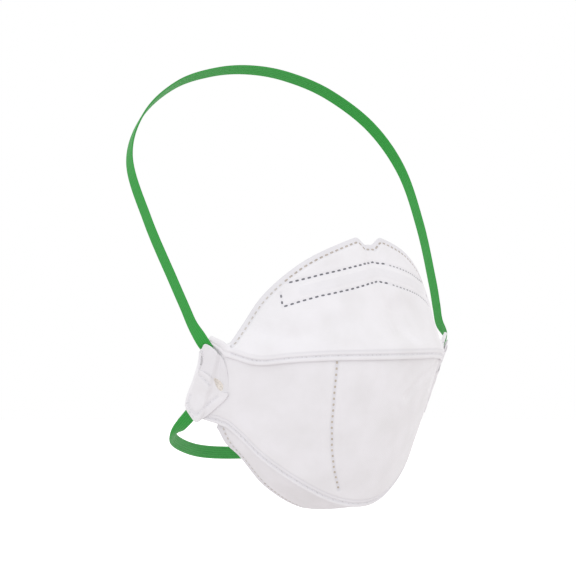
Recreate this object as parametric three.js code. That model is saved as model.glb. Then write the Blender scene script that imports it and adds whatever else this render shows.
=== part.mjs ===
// Folding respirator mask: three nonwoven panels welded edge to edge, opened to its worn shape,
// with folded side tabs that form tunnels for one elastic strap.
//
// Frame: millimetres, +Z up. The front of the mask looks along -Y and the wearer's right is -X.
// The origin is the middle of the opening that the face goes into.
import * as THREE from 'three';

// ---------- driving dimensions ----------
const PANEL_WALL = 1.2;      // filter cloth of the three panels
const TAB_WALL = 0.9;        // pressed layers of a side tab
const GAP = 0.3;             // clearance between neighbouring pieces
const WELD_LAP = 3.6;        // width of the welded overlap along both seams
const SEAM_RISE = 1.2;       // how far the top panel stands up before it leans back
const CENTRE_BULGE = 4.5;    // forward swell of the centre panel between its seams
const NOSE_DENT = 2.6;       // hollow of the top panel under the nose strip
const CHIN_BULGE = 1.0;      // downward swell of the chin panel
const NOTCH_DEPTH = 5.0;     // cut-out over the bridge of the nose
const NOTCH_HALF = 0.08;     // half width of the cut-out, as a share of half the mask

const STRAP_WIDTH = 7.0;
const STRAP_THICK = 1.0;
const TUNNEL_WIDTH = 8.6;    // strap tunnel in the folded tab
const TUNNEL_HEIGHT = STRAP_THICK + 3 * GAP;
const TUNNEL_CLOSE = 3.0;    // width over which the flap comes down to the tab

// The nose strip and its pocket lie behind the top panel and arch over the nose.
const CLIP = { halfLength: 0.42, halfHeight: 2.5, wall: 0.8 };
const POCKET = { halfLength: 0.46, halfHeight: 5.4, wall: 0.6 };
const NOSE_ARCH = { height: 57, drop: 16 };   // middle height, and the fall to the pocket's ends

const COLUMNS = 42;          // steps across the mask
const COLUMN_CROWDING = 1.25;   // above 1 the steps are closer together over the nose
const CENTRE_ROWS = 10;
const TOP_ROWS = 10;
const CHIN_ROWS = 6;
const POCKET_ROWS = 8;
const TAB_ROWS = 10;
const STRAP_STEPS = 84;

// ---------- the five rails that carry the panels ----------
// One row per station, from the middle of the mask out to the side where the tab begins.
const TOP_EDGE = [
  { x: 0, y: -22.8, z: 75.8 },
  { x: 22.4, y: -21.4, z: 70.1 },
  { x: 42.1, y: -14.5, z: 59.7 },
  { x: 58.2, y: -6.1, z: 44.4 },
  { x: 67.8, y: -0.4, z: 28.6 },
  { x: 75.0, y: 1.4, z: 18.4 },
];
const TOP_SEAM = [
  { x: 0, y: -45.0, z: 13.8 },
  { x: 19, y: -42.2, z: 13.8 },
  { x: 37, y: -34.4, z: 13.6 },
  { x: 53, y: -23.2, z: 12.6 },
  { x: 66, y: -11.2, z: 11.2 },
  { x: 76, y: -0.4, z: 15.2 },
];
const BOTTOM_SEAM = [
  { x: 0, y: -16.6, z: -70.4 },
  { x: 18, y: -13.8, z: -67.2 },
  { x: 38, y: -7.0, z: -56.6 },
  { x: 54, y: 1.2, z: -44.0 },
  { x: 65, y: 8.4, z: -31.0 },
  { x: 73.6, y: 13.8, z: -22.6 },
];
const CHIN_EDGE = [
  { x: 0, y: 20.6, z: -74.2 },
  { x: 20, y: 17.6, z: -70.0 },
  { x: 40, y: 17.4, z: -58.6 },
  { x: 56, y: 17.0, z: -43.2 },
  { x: 65.8, y: 16.8, z: -35.4 },
  { x: 72.2, y: 16.0, z: -26.6 },
];

// ---------- side tab ----------
// Corners on the +X side; the other tab is its mirror image.
const TAB = {
  rootTop: { x: 76, y: -0.4, z: 15.2 },
  rootBottom: { x: 73.6, y: 13.8, z: -22.6 },
  foldTop: { x: 87.3, y: 9.1, z: 19.5 },
  foldBottom: { x: 86.5, y: 25.3, z: -15.1 },
};
const FOLD_WAIST = { depth: 1.4, middle: 0.27, spread: 0.22 };   // where the fold draws in
// The back layer from root to fold: how far its upper edge rises and its lower edge drops.
const BACK_LAYER = [
  { share: 0, rise: 0, drop: 2.0 },
  { share: 0.25, rise: 3.7, drop: 2.6 },
  { share: 0.5, rise: 6.0, drop: 2.6 },
  { share: 0.75, rise: 8.0, drop: 1.6 },
  { share: 0.9, rise: 8.4, drop: 0.6 },
  { share: 1, rise: 0, drop: 0 },
];
// Both ends of the fold, from the back layer round to the flap, down from the fold's top.
const BEND = [
  { top: 6.0, bottom: 38.2 },
  { top: 6.0, bottom: 37.4 },
  { top: 5.8, bottom: 36.6 },
  { top: 5.2, bottom: 36.8 },
];
// Outline of the folded flap: inward from the fold and down from the fold's top.
const FLAP_TOP = [
  { inward: 0.95, down: 1.0 },
  { inward: 4.5, down: 0.8 },
  { inward: 8.5, down: 2.2 },
  { inward: 12.5, down: 5.8 },
];
const FLAP_BOTTOM = [
  { inward: 0.95, down: 38.6 },
  { inward: 7.4, down: 44.2 },
  { inward: 9.5, down: 43.0 },
  { inward: 12.8, down: 38.4 },
  { inward: 20.0, down: 26.0 },
];
const FLAP_BELLY = 1.6;      // swell of the flap's free edge between its two corners

// ---------- strap ----------
// The stretch inside the tunnel, in the same terms as the flap's outline. The two loops meet there.
const HEAD_TUNNEL = [
  { inward: 5.4, down: 18 },
  { inward: 5.4, down: 11.5 },
  { inward: 4.7, down: 6.5 },
  { inward: 2.8, down: 2.7 },
];
const NECK_TUNNEL = [
  { inward: 5.4, down: 19 },
  { inward: 4.9, down: 29 },
  { inward: 4.4, down: 35 },
  { inward: 4.1, down: 40 },
];
// The free half of each loop on the +X side, up to its middle row. The last three columns are the
// direction of the band's width.
const HEAD_LOOP = [
  { x: 88.8, y: 9.2, z: 21.1, acrossX: -0.51, acrossY: -0.75, acrossZ: 0.46 },
  { x: 89.6, y: 15.4, z: 28.4, acrossX: -0.1, acrossY: -0.74, acrossZ: 0.66 },
  { x: 91.4, y: 19.6, z: 37.6, acrossX: 0, acrossY: -0.73, acrossZ: 0.68 },
  { x: 94.3, y: 26.3, z: 52.3, acrossX: 0, acrossY: -0.73, acrossZ: 0.68 },
  { x: 99.4, y: 41.9, z: 84.3, acrossX: 0, acrossY: -0.73, acrossZ: 0.68 },
  { x: 99.4, y: 58.1, z: 117.0, acrossX: 0, acrossY: -0.73, acrossZ: 0.68 },
  { x: 83.6, y: 67.2, z: 142.4, acrossX: 0, acrossY: -0.73, acrossZ: 0.68 },
  { x: 56.4, y: 73.5, z: 160.6, acrossX: 0, acrossY: -0.73, acrossZ: 0.68 },
  { x: 27.4, y: 75.6, z: 169.5, acrossX: 0, acrossY: -0.73, acrossZ: 0.68 },
  { x: 0, y: 76.2, z: 172.2, acrossX: 0, acrossY: -0.73, acrossZ: 0.68 },
];
const NECK_LOOP = [
  { x: 85.2, y: 34.6, z: -28.2, acrossX: -0.5, acrossY: -0.75, acrossZ: 0.4 },
  { x: 79.7, y: 44.8, z: -33.4, acrossX: -0.1, acrossY: -0.35, acrossZ: 0.9 },
  { x: 65.0, y: 54.8, z: -38.4, acrossX: 0, acrossY: -0.1, acrossZ: 1 },
  { x: 47.5, y: 62.5, z: -42.2, acrossX: 0, acrossY: 0, acrossZ: 1 },
  { x: 26.0, y: 67.5, z: -44.3, acrossX: 0, acrossY: 0, acrossZ: 1 },
  { x: 0, y: 69.5, z: -45.0, acrossX: 0, acrossY: 0, acrossZ: 1 },
];

// ---------- helpers ----------
const range = (count) => [...Array(count).keys()];
const point = (row) => new THREE.Vector3(row.x, row.y, row.z);
const mirrored = (v) => new THREE.Vector3(-v.x, v.y, v.z);
const smooth = (a, b, x) => THREE.MathUtils.smoothstep(x, a, b);

// A smooth curve through a half table and its mirror image; u runs from -1 to +1 across the mask.
function rail(table) {
  const half = table.map(point);
  const points = [...half.slice(1).reverse().map(mirrored), ...half];
  const curve = new THREE.CatmullRomCurve3(points, false, 'catmullrom', 0.5);
  return (u) => curve.getPoint((u + 1) / 2);
}

// The unit normal of a grid at row i, column j. Rows run down and columns towards +X, so the
// normal of a panel points out of the mask.
function gridNormal(grid, i, j) {
  const rows = grid.length - 1;
  const columns = grid[0].length - 1;
  const down = grid[Math.min(i + 1, rows)][j].clone().sub(grid[Math.max(i - 1, 0)][j]);
  const along = grid[i][Math.min(j + 1, columns)].clone().sub(grid[i][Math.max(j - 1, 0)]);
  return down.cross(along).normalize();
}

// The grid moved by a distance along its normals; the distance may be a function of (i, j).
function offset(grid, distance) {
  const by = typeof distance === 'function' ? distance : () => distance;
  return grid.map((row, i) => row.map((p, j) => (
    p.clone().addScaledVector(gridNormal(grid, i, j), by(i, j))
  )));
}

// A closed solid between two grids of the same size, with a rim round all four sides.
function wallGeometry(outer, inner) {
  const rows = outer.length;
  const columns = outer[0].length;
  const positions = [...outer.flat(), ...inner.flat()].flatMap((p) => [p.x, p.y, p.z]);
  const at = (side, i, j) => side * rows * columns + i * columns + j;
  const faces = [];
  const quad = (a, b, c, d) => faces.push(a, b, c, a, c, d);
  for (let i = 0; i < rows - 1; i += 1) {
    for (let j = 0; j < columns - 1; j += 1) {
      quad(at(0, i, j), at(0, i, j + 1), at(0, i + 1, j + 1), at(0, i + 1, j));
      quad(at(1, i, j), at(1, i + 1, j), at(1, i + 1, j + 1), at(1, i, j + 1));
    }
  }
  for (let j = 0; j < columns - 1; j += 1) {
    quad(at(0, 0, j), at(1, 0, j), at(1, 0, j + 1), at(0, 0, j + 1));
    quad(at(0, rows - 1, j), at(0, rows - 1, j + 1), at(1, rows - 1, j + 1), at(1, rows - 1, j));
  }
  for (let i = 0; i < rows - 1; i += 1) {
    quad(at(0, i, 0), at(0, i + 1, 0), at(1, i + 1, 0), at(1, i, 0));
    quad(at(0, i, columns - 1), at(1, i, columns - 1), at(1, i + 1, columns - 1), at(0, i + 1, columns - 1));
  }
  const geometry = new THREE.BufferGeometry();
  geometry.setAttribute('position', new THREE.Float32BufferAttribute(positions, 3));
  geometry.setIndex(volume(positions, faces) < 0 ? faces.reverse() : faces);
  geometry.computeVertexNormals();
  return geometry;
}

function volume(positions, faces) {
  const vertex = (k) => new THREE.Vector3().fromArray(positions, 3 * k);
  let sum = 0;
  for (let f = 0; f < faces.length; f += 3) {
    sum += vertex(faces[f]).dot(vertex(faces[f + 1]).cross(vertex(faces[f + 2])));
  }
  return sum / 6;
}

// ---------- materials ----------
const clothMaterial = new THREE.MeshStandardMaterial({ color: 0xf1f1f4, roughness: 0.95, metalness: 0 });
const strapMaterial = new THREE.MeshStandardMaterial({ color: 0x4ba655, roughness: 0.8, metalness: 0 });
const clipMaterial = new THREE.MeshStandardMaterial({ color: 0xc9ccd2, roughness: 0.4, metalness: 0.9 });

// ---------- panels ----------
const topEdge = rail(TOP_EDGE);
const topSeam = rail(TOP_SEAM);
const bottomSeam = rail(BOTTOM_SEAM);
const chinEdge = rail(CHIN_EDGE);
const across = range(COLUMNS + 1).map((i) => {
  const q = (2 * i) / COLUMNS - 1;
  return Math.sign(q) * Math.abs(q) ** COLUMN_CROWDING;
});
const forward = new THREE.Vector3(0, -1, 0);

// The outer face of the centre panel, at u across and t down from the top seam.
function centreFace(u, t) {
  const swell = CENTRE_BULGE * (1 - u * u) ** 2 * 4 * t * (1 - t);
  return topSeam(u).lerp(bottomSeam(u), t).addScaledVector(forward, swell);
}

function centrePanel() {
  const outer = range(CENTRE_ROWS + 1).map((i) => across.map((u) => centreFace(u, i / CENTRE_ROWS)));
  return wallGeometry(outer, offset(outer, -PANEL_WALL));
}

// The share of the centre panel's height that one step of the welded overlap takes.
const LAP_STEPS = 2;
const lapShare = (u, i) => (i / LAP_STEPS) * (WELD_LAP / topSeam(u).distanceTo(bottomSeam(u)));

// The welded border of the top panel: its inner face lies in front of the centre panel.
const topBorder = offset(
  range(LAP_STEPS + 1).map((i) => across.map((u) => centreFace(u, lapShare(u, i)))), GAP);
const topFold = topBorder[0].map((p) => p.clone().add(new THREE.Vector3(0, 0, SEAM_RISE)));

// The inner face of the top panel at column j, rising from 0 at the seam to 1 at the free edge.
function topFace(j, rise) {
  const u = across[j];
  const notch = NOTCH_DEPTH * (1 - smooth(0.2 * NOTCH_HALF, NOTCH_HALF, Math.abs(u)));
  const edge = topEdge(u).add(new THREE.Vector3(0, 0, -notch));
  const beside = 1 - smooth(0.05, 0.4, Math.abs(u));
  const dent = NOSE_DENT * beside * smooth(0, 0.3, rise) * (1 - smooth(0.3, 0.65, rise));
  return topFold[j].clone().lerp(edge, rise).addScaledVector(forward, -dent);
}

function topInnerGrid() {
  const cloth = range(TOP_ROWS).map((i) => across.map((u, j) => topFace(j, 1 - i / TOP_ROWS)));
  return [...cloth, topFold, ...topBorder];
}

// The outer face of the chin panel: its welded border lies behind the centre panel.
function chinOuterGrid() {
  const lap = range(LAP_STEPS + 1).map((i) => (
    across.map((u) => centreFace(u, 1 - lapShare(u, LAP_STEPS - i)))
  ));
  const border = offset(lap, -(PANEL_WALL + GAP));
  const cloth = range(CHIN_ROWS).map((i) => across.map((u, j) => {
    const t = (i + 1) / CHIN_ROWS;
    const swell = CHIN_BULGE * (1 - u * u) * Math.sin(Math.PI * t);
    return border[LAP_STEPS][j].clone().lerp(chinEdge(u), t).add(new THREE.Vector3(0, 0, -swell));
  }));
  return [...border, ...cloth];
}

// ---------- nose strip and its pocket ----------
// A band on the inner face of the top panel, as long and as high as the piece says.
function noseBand({ halfLength, halfHeight }, rows) {
  const columns = range(COLUMNS + 1).filter((j) => Math.abs(across[j]) <= halfLength);
  return range(rows + 1).map((i) => columns.map((j) => {
    const middle = NOSE_ARCH.height - NOSE_ARCH.drop * (across[j] / POCKET.halfLength) ** 2;
    const height = middle + halfHeight * (1 - (2 * i) / rows);
    const foot = topFace(j, 0).z;
    return topFace(j, (height - foot) / (topEdge(across[j]).z - foot));
  }));
}

// ---------- side tab ----------
// The plane of the +X tab: inward from the fold, down along it, and outward from its face.
const foldTop = point(TAB.foldTop);
const foldBottom = point(TAB.foldBottom);
const rootTop = point(TAB.rootTop);
const rootBottom = point(TAB.rootBottom);
const downward = foldBottom.clone().sub(foldTop).normalize();
const toRoot = rootTop.clone().lerp(rootBottom, 0.5).sub(foldTop);
const inward = toRoot.addScaledVector(downward, -toRoot.dot(downward)).normalize();
const outward = inward.clone().cross(downward).normalize();
const onTab = (a, b, c) => foldTop.clone()
  .addScaledVector(inward, a).addScaledVector(downward, b).addScaledVector(outward, c);

// The place at share q of an outline, measured inward between its first and last rows.
function alongOutline(line, q) {
  const reach = THREE.MathUtils.lerp(line[0].inward, line[line.length - 1].inward, q);
  const k = Math.max(1, line.findIndex((row) => row.inward >= reach - 1e-6));
  const share = (reach - line[k - 1].inward) / (line[k].inward - line[k - 1].inward);
  return { inward: reach, down: THREE.MathUtils.lerp(line[k - 1].down, line[k].down, share) };
}

// The inner face of the folded tab: up the back layer, round the fold and back over the tunnel.
function tabGrid() {
  const turn = TUNNEL_HEIGHT / 2;
  return range(TAB_ROWS + 1).map((i) => {
    const v = i / TAB_ROWS;
    const waist = FOLD_WAIST.depth * Math.exp(-(((v - FOLD_WAIST.middle) / FOLD_WAIST.spread) ** 2));
    const bendDown = (k) => THREE.MathUtils.lerp(BEND[k].top, BEND[k].bottom, v);
    const root = rootTop.clone().lerp(rootBottom, v).addScaledVector(inward, -GAP);
    const fold = onTab(turn + waist, bendDown(0), 0);
    const upper = 1 - smooth(0, 0.3, v);
    const lower = smooth(0.7, 1, v);
    const back = BACK_LAYER.map(({ share, rise, drop }) => (
      root.clone().lerp(fold, share).addScaledVector(downward, lower * drop - upper * rise)
    ));
    const bend = [1, 2, 3].map((k) => {
      const angle = (Math.PI * k) / 4;
      return onTab(waist + turn - turn * Math.sin(angle), bendDown(k), turn - turn * Math.cos(angle));
    });
    const flap = range(11).map((k) => {
      const q = k / 10;
      const top = alongOutline(FLAP_TOP, q);
      const bottom = alongOutline(FLAP_BOTTOM, q);
      const belly = FLAP_BELLY * q * q * Math.sin(Math.PI * v);
      const reach = THREE.MathUtils.lerp(top.inward, bottom.inward, v) + waist * (1 - q) + belly;
      const down = THREE.MathUtils.lerp(top.down, bottom.down, v);
      const open = 1 - smooth(TUNNEL_WIDTH, TUNNEL_WIDTH + TUNNEL_CLOSE, reach);
      return onTab(reach, down, GAP + (TUNNEL_HEIGHT - GAP) * open);
    });
    return [...back, ...bend, ...flap];
  });
}

// ---------- strap ----------
const inTunnel = (row) => ({ place: onTab(row.inward, row.down, TUNNEL_HEIGHT / 2), across: inward.clone() });
const inAir = (row) => ({
  place: point(row),
  across: new THREE.Vector3(row.acrossX, row.acrossY, row.acrossZ).normalize(),
});

// A flat band along a whole loop, given by the sections of its +X half.
function strapGeometry(half) {
  const rest = half.slice(0, -1).reverse();
  const places = [...half.map((s) => s.place), ...rest.map((s) => mirrored(s.place))];
  const widths = [...half.map((s) => s.across), ...rest.map((s) => mirrored(s.across))];
  const path = new THREE.CatmullRomCurve3(places, false, 'catmullrom', 0.5);
  const width = new THREE.CatmullRomCurve3(widths, false, 'catmullrom', 0.5);
  const sections = range(STRAP_STEPS + 1).map((i) => {
    const t = i / STRAP_STEPS;
    const centre = path.getPoint(t);
    const tangent = path.getTangent(t);
    const side = width.getPoint(t);
    side.addScaledVector(tangent, -side.dot(tangent)).normalize();
    const normal = tangent.clone().cross(side);
    return [-0.5, 0.5].map((share) => ({
      edge: centre.clone().addScaledVector(side, share * STRAP_WIDTH),
      normal,
    }));
  });
  const face = (sign) => sections.map((row) => row.map(({ edge, normal }) => (
    edge.clone().addScaledVector(normal, (sign * STRAP_THICK) / 2)
  )));
  return wallGeometry(face(1), face(-1));
}

// ---------- the assembly ----------
const group = new THREE.Group();

function addPiece(name, geometry, material) {
  const mesh = new THREE.Mesh(geometry, material);
  mesh.name = name;
  group.add(mesh);
}

addPiece('centre_panel', centrePanel(), clothMaterial);

const topInner = topInnerGrid();
addPiece('top_panel', wallGeometry(offset(topInner, PANEL_WALL), topInner), clothMaterial);

const chinOuter = chinOuterGrid();
addPiece('chin_panel', wallGeometry(chinOuter, offset(chinOuter, -PANEL_WALL)), clothMaterial);

const clipBand = offset(noseBand(CLIP, 2), -GAP);
addPiece('nose_clip', wallGeometry(clipBand, offset(clipBand, -CLIP.wall)), clipMaterial);

// The pocket stands off the panel over the strip and comes back to it along both edges.
const pocketLift = (i) => (i < 2 || i > POCKET_ROWS - 2 ? GAP : 2 * GAP + CLIP.wall);
const pocketOuter = offset(noseBand(POCKET, POCKET_ROWS), (i) => -pocketLift(i));
addPiece('nose_clip_pocket', wallGeometry(pocketOuter, offset(pocketOuter, -POCKET.wall)), clothMaterial);

const tab = tabGrid();
const tabOutside = offset(tab, -TAB_WALL);
const mirrorGrid = (grid) => grid.map((row) => row.map(mirrored));
addPiece('left_tab', wallGeometry(tab, tabOutside), clothMaterial);
addPiece('right_tab', wallGeometry(mirrorGrid(tab), mirrorGrid(tabOutside)), clothMaterial);

const headHalf = [...HEAD_TUNNEL.map(inTunnel), ...HEAD_LOOP.map(inAir)];
const neckHalf = [...NECK_TUNNEL.map(inTunnel), ...NECK_LOOP.map(inAir)];
addPiece('head_strap', strapGeometry(headHalf), strapMaterial);
addPiece('neck_strap', strapGeometry(neckHalf), strapMaterial);

export default group;
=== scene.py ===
import math

import bpy
import numpy as np
from mathutils import Matrix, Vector
from mathutils.kdtree import KDTree


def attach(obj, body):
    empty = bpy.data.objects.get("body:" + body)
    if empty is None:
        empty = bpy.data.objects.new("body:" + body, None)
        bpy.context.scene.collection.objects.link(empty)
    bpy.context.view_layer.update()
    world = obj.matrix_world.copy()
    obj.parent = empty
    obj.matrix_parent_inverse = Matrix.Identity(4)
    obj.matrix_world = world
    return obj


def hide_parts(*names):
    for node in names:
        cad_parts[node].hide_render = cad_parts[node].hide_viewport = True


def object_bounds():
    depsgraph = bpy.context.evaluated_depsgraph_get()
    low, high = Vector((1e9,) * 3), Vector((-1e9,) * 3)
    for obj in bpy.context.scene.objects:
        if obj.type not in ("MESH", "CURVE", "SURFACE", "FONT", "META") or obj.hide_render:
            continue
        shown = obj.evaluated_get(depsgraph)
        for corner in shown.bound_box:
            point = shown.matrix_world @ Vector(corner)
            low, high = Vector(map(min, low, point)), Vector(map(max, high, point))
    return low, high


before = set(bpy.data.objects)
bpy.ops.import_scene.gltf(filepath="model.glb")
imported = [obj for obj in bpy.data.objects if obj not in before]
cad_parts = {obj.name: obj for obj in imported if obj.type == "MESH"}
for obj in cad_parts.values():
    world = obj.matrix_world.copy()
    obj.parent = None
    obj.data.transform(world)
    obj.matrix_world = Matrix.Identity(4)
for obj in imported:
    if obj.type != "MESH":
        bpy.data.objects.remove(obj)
cad_box = [[float(v) for v in corner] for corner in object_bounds()]
scene = bpy.context.scene
MM = 0.001

# ---------- camera ----------
LOOK_AT = (0.0, 43.7, 48.0)      # the point in the middle of the view
LOOK_AZIMUTH = 40.0              # degrees from the front of the mask towards the wearer's right
LOOK_DISTANCE = 1400.0
LENS = 156.25
SENSOR = 36.0


def add_camera():
    turn = math.radians(LOOK_AZIMUTH)
    back = np.array([-math.sin(turn), -math.cos(turn), 0.0])
    right = np.array([math.cos(turn), -math.sin(turn), 0.0])
    data = bpy.data.cameras.new("camera")
    data.lens = LENS
    data.sensor_width = SENSOR
    camera = bpy.data.objects.new("camera", data)
    scene.collection.objects.link(camera)
    place = (np.array(LOOK_AT) + LOOK_DISTANCE * back) * MM
    rows = [[right[k], (0.0, 0.0, 1.0)[k], back[k], place[k]] for k in range(3)]
    camera.matrix_world = Matrix(rows + [[0.0, 0.0, 0.0, 1.0]])
    scene.camera = camera


add_camera()

# ---------- sizes shared with the part's source, in millimetres ----------
PANEL_WALL = 1.2
TAB_WALL = 0.9
GAP = 0.3
WELD_LAP = 3.6
SEAM_RISE = 1.2
CENTRE_BULGE = 4.5
NOSE_DENT = 2.6
CHIN_BULGE = 1.0
NOTCH_DEPTH = 5.0
NOTCH_HALF = 0.08
STRAP_WIDTH = 7.0
STRAP_THICK = 1.0
TUNNEL_WIDTH = 8.6
TUNNEL_HEIGHT = STRAP_THICK + 3 * GAP
TUNNEL_CLOSE = 3.0

# x, y, z from the middle of the mask out to the side
TOP_EDGE = [
    (0, -22.8, 75.8), (22.4, -21.4, 70.1), (42.1, -14.5, 59.7),
    (58.2, -6.1, 44.4), (67.8, -0.4, 28.6), (75.0, 1.4, 18.4),
]
TOP_SEAM = [
    (0, -45.0, 13.8), (19, -42.2, 13.8), (37, -34.4, 13.6),
    (53, -23.2, 12.6), (66, -11.2, 11.2), (76, -0.4, 15.2),
]
BOTTOM_SEAM = [
    (0, -16.6, -70.4), (18, -13.8, -67.2), (38, -7.0, -56.6),
    (54, 1.2, -44.0), (65, 8.4, -31.0), (73.6, 13.8, -22.6),
]
CHIN_EDGE = [
    (0, 20.6, -74.2), (20, 17.6, -70.0), (40, 17.4, -58.6),
    (56, 17.0, -43.2), (65.8, 16.8, -35.4), (72.2, 16.0, -26.6),
]
ROOT_TOP = np.array([76, -0.4, 15.2])
ROOT_BOTTOM = np.array([73.6, 13.8, -22.6])
FOLD_TOP = np.array([87.3, 9.1, 19.5])
FOLD_BOTTOM = np.array([86.5, 25.3, -15.1])
BEND_TOP = 6.0
BEND_BOTTOM = 38.2
WAIST_DEPTH, WAIST_MIDDLE, WAIST_SPREAD = 1.4, 0.27, 0.22
# share of the way from root to fold, rise of the upper edge, drop of the lower edge
BACK_LAYER = [
    (0, 0, 2.0), (0.25, 3.7, 2.6), (0.5, 6.0, 2.6), (0.75, 8.0, 1.6), (0.9, 8.4, 0.6), (1, 0, 0),
]
# inward, down
HEAD_TUNNEL = [(5.4, 18), (5.4, 11.5), (4.7, 6.5), (2.8, 2.7)]
NECK_TUNNEL = [(5.4, 19), (4.9, 29), (4.4, 35), (4.1, 40)]
# x, y, z and the direction of the band's width
HEAD_LOOP = [
    (88.8, 9.2, 21.1, -0.51, -0.75, 0.46), (89.6, 15.4, 28.4, -0.1, -0.74, 0.66),
    (91.4, 19.6, 37.6, 0, -0.73, 0.68),
    (94.3, 26.3, 52.3, 0, -0.73, 0.68), (99.4, 41.9, 84.3, 0, -0.73, 0.68),
    (99.4, 58.1, 117.0, 0, -0.73, 0.68), (83.6, 67.2, 142.4, 0, -0.73, 0.68),
    (56.4, 73.5, 160.6, 0, -0.73, 0.68), (27.4, 75.6, 169.5, 0, -0.73, 0.68),
    (0, 76.2, 172.2, 0, -0.73, 0.68),
]
NECK_LOOP = [
    (85.2, 34.6, -28.2, -0.5, -0.75, 0.4), (79.7, 44.8, -33.4, -0.1, -0.35, 0.9),
    (65.0, 54.8, -38.4, 0, -0.1, 1), (47.5, 62.5, -42.2, 0, 0, 1),
    (26.0, 67.5, -44.3, 0, 0, 1), (0, 69.5, -45.0, 0, 0, 1),
]

# ---------- sizes of the fine forms ----------
COLUMNS = 320                # steps across a panel
ROWS = 150                   # steps down a panel
WING = 30                    # further steps along the back layer of a tab
EDGE_LINE = 2.6              # weld line inside the free edges
HEM_LINE = 1.9               # weld line above the centre panel's lower edge
SEAM_LINE = 2.3              # weld line above the top panel's lower edge
HEM_DROP = 1.6               # how far the lower edge falls where the tabs start
VALLEY_DEPTH = 0.5           # the fold beside the nose, and the facet past it
FACET_DEPTH = 2.2
POCKET_UPPER = [(0, 62.0), (7.4, 61.0), (19.6, 58.4), (33.4, 55.2), (42.9, 52.5), (48.8, 50.7)]
POCKET_LOWER = [(0, 51.8), (7.6, 50.2), (19.8, 47.3), (35.8, 44.0), (45.1, 41.1), (53.1, 38.0)]
WING_WALL = 0.42             # cloth over a tab's back layer
PANEL_WELD = [
    (-32.9, 10.2), (-32.7, 7.4), (-31.6, -8.6), (-29.5, -24.7), (-26.2, -38.3),
    (-22.2, -49.3), (-16.4, -60.4),
]


# ---------- curves and grids ----------
def smooth(low, high, x):
    t = np.clip((x - low) / (high - low), 0, 1)
    return t * t * (3 - 2 * t)


def fall(low, high, x):
    return 1 - smooth(low, high, x)


def bell(x, width):
    return np.exp(-((x / width) ** 2))


def catmull(points):
    """A smooth curve through points, as a function of shares from 0 to 1."""
    points = np.array(points, float)
    last = len(points) - 1
    ends = np.vstack([2 * points[0] - points[1], points, 2 * points[-1] - points[-2]])

    def at(share):
        place = np.clip(share, 0, 1) * last
        k = np.minimum(np.asarray(place).astype(int), last - 1)
        w = (place - k)[..., None]
        before, a, b, after = (ends[k + i] for i in range(4))
        leave = (b - before) / 2
        arrive = (after - a) / 2
        return (
            (2 * w**3 - 3 * w**2 + 1) * a
            + (w**3 - 2 * w**2 + w) * leave
            + (3 * w**2 - 2 * w**3) * b
            + (w**3 - w**2) * arrive
        )

    return at


def rail(half):
    """A curve across the mask through a half table and its mirror image; u runs from -1 to +1."""
    mirror = [(-x, y, z) for x, y, z in half[:0:-1]]
    curve = catmull(mirror + list(half))
    return lambda u: curve((np.asarray(u) + 1) / 2)


def unit(v):
    return v / np.maximum(np.linalg.norm(v, axis=-1, keepdims=True), 1e-12)


def normals(grid):
    """Rows run down and columns towards +X, so the normal points out of the mask."""
    return unit(np.cross(np.gradient(grid, axis=0), np.gradient(grid, axis=1)))


def offset(grid, distance):
    by = np.broadcast_to(distance, grid.shape[:2])
    return grid + normals(grid) * by[..., None]


def lengths_along(line):
    return np.concatenate([[0], np.cumsum(np.linalg.norm(np.diff(line, axis=0), axis=1))])


def resampled_to(line, count):
    """count points evenly spaced along a line."""
    line = np.array(line, float)
    along = lengths_along(line)
    at = np.linspace(0, along[-1], count)
    return np.stack([np.interp(at, along, line[:, k]) for k in range(line.shape[1])], axis=1)


def resampled(line, step):
    """The points of a line again, about step apart along it."""
    line = np.array(line, float)
    return resampled_to(line, max(2, round(lengths_along(line)[-1] / step) + 1))


def ripple(points, size, seed):
    """A soft field from -1 to 1 over points, with waves about size apart; the same each run."""
    rng = np.random.default_rng(seed)
    total = np.zeros(points.shape[:-1])
    for _ in range(7):
        wave = rng.normal(size=3)
        wave *= 2 * math.pi / (size * rng.uniform(0.8, 1.5) * np.linalg.norm(wave))
        total += np.sin(points @ wave + rng.uniform(0, 2 * math.pi))
    return total / 4


def mirrored(grid):
    return grid[:, ::-1] * [-1, 1, 1]


def distance_to(grid, line):
    """How far each point of a grid is from a line in space."""
    line = resampled(line, 0.4)
    tree = KDTree(len(line))
    for i, p in enumerate(line):
        tree.insert(p, i)
    tree.balance()
    flat = [tree.find(p)[2] for p in grid.reshape(-1, 3)]
    return np.array(flat).reshape(grid.shape[:2])


def sample(values, rows, columns):
    """Values of a grid at fractional rows and columns."""
    r = np.clip(rows, 0, values.shape[0] - 1.001)
    c = np.clip(columns, 0, values.shape[1] - 1.001)
    i, j = r.astype(int), c.astype(int)
    a, b = (r - i)[..., None], (c - j)[..., None]
    top = values[i, j] * (1 - b) + values[i, j + 1] * b
    low = values[i + 1, j] * (1 - b) + values[i + 1, j + 1] * b
    return top * (1 - a) + low * a


def slopes(grid, r, c):
    """The steps of a grid along one row and one column, around a place."""
    down = (sample(grid, r + 0.5, c) - sample(grid, r - 0.5, c))[0]
    return np.stack([down, (sample(grid, r, c + 0.5) - sample(grid, r, c - 0.5))[0]], axis=1)


def locate(grid, targets, axes):
    """Fractional rows and columns where a grid passes over targets, seen along the third axis."""
    flat = grid[..., axes]
    found = []
    for target in np.array(targets, float):
        away = np.linalg.norm(flat - target, axis=-1)
        place = np.array(np.unravel_index(away.argmin(), away.shape), float)
        for _ in range(4):
            r, c = place[:1], place[1:]
            here = sample(flat, r, c)[0]
            step = np.linalg.lstsq(slopes(flat, r, c), target - here, rcond=None)[0]
            place = place + np.clip(step, -2, 2)
        found.append(place)
    return np.array(found)


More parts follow.
